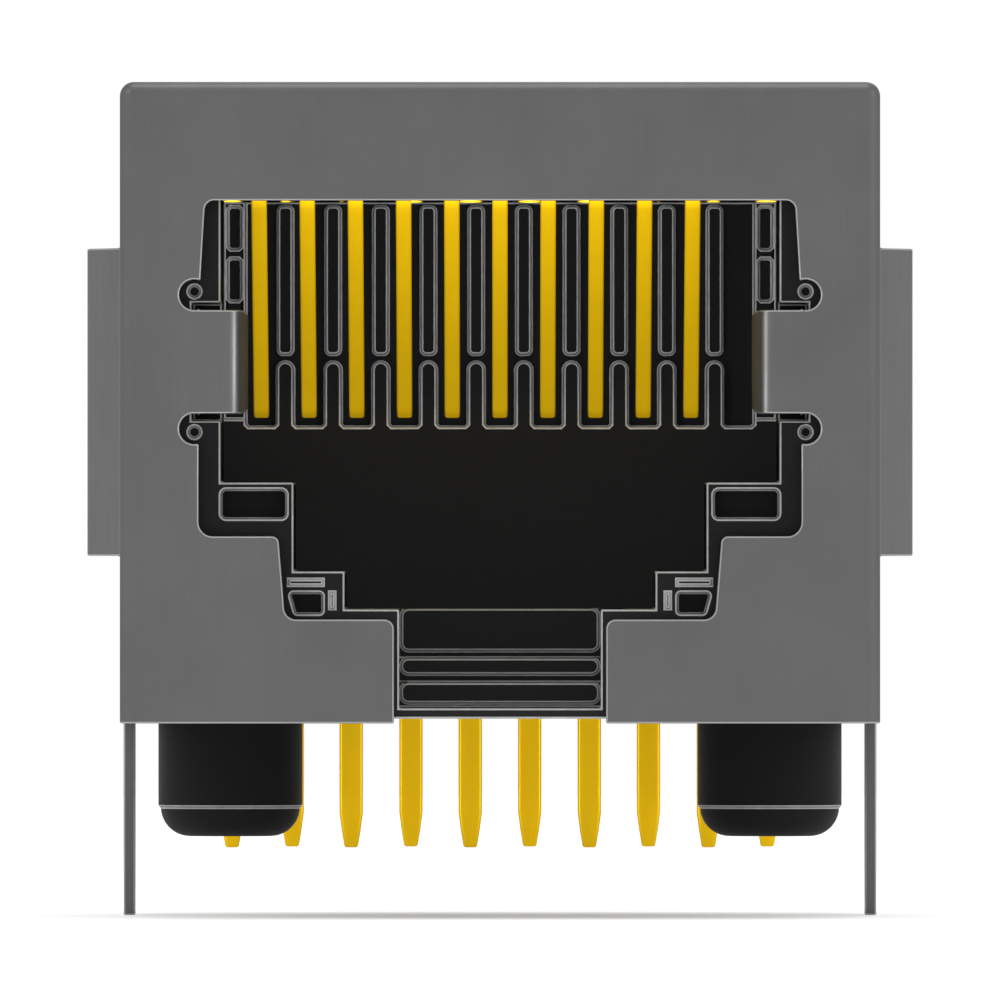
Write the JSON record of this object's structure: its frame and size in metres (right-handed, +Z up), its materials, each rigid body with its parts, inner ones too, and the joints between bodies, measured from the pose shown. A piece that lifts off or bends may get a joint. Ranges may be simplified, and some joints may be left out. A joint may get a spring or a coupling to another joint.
{
  "type": "modular jack",
  "caption": "Right-angle shielded modular jack for a circuit board, latch side down, with sprung contacts, board pegs and solder tails.",
  "frame": {"origin": "on the circuit board's surface, midway between the axes of the two board pegs", "axes": "+X across the face to the right as seen from the front, +Y into the jack away from the plug, +Z up from the board"},
  "size_m": [0.0174, 0.018, 0.0176],
  "materials": {
    "shield": "satin nickel plate on thin formed strip",
    "moulding": "fine spark-eroded texture, black glass-filled thermoplastic",
    "contact_plating": "smooth gold plate on phosphor bronze strip"
  },
  "bodies": {
    "root": {"shield_front": "shield", "shield_rear": "shield", "housing": "moulding", "comb_wall": "moulding", "contact_tongue": "moulding", "tail_locator": "moulding", "contact_01": "contact_plating", "contact_02": "contact_plating", "contact_03": "contact_plating", "contact_04": "contact_plating", "contact_05": "contact_plating", "contact_06": "contact_plating", "contact_07": "contact_plating", "contact_08": "contact_plating", "contact_09": "contact_plating", "contact_10": "contact_plating"}
  },
  "joints": []
}
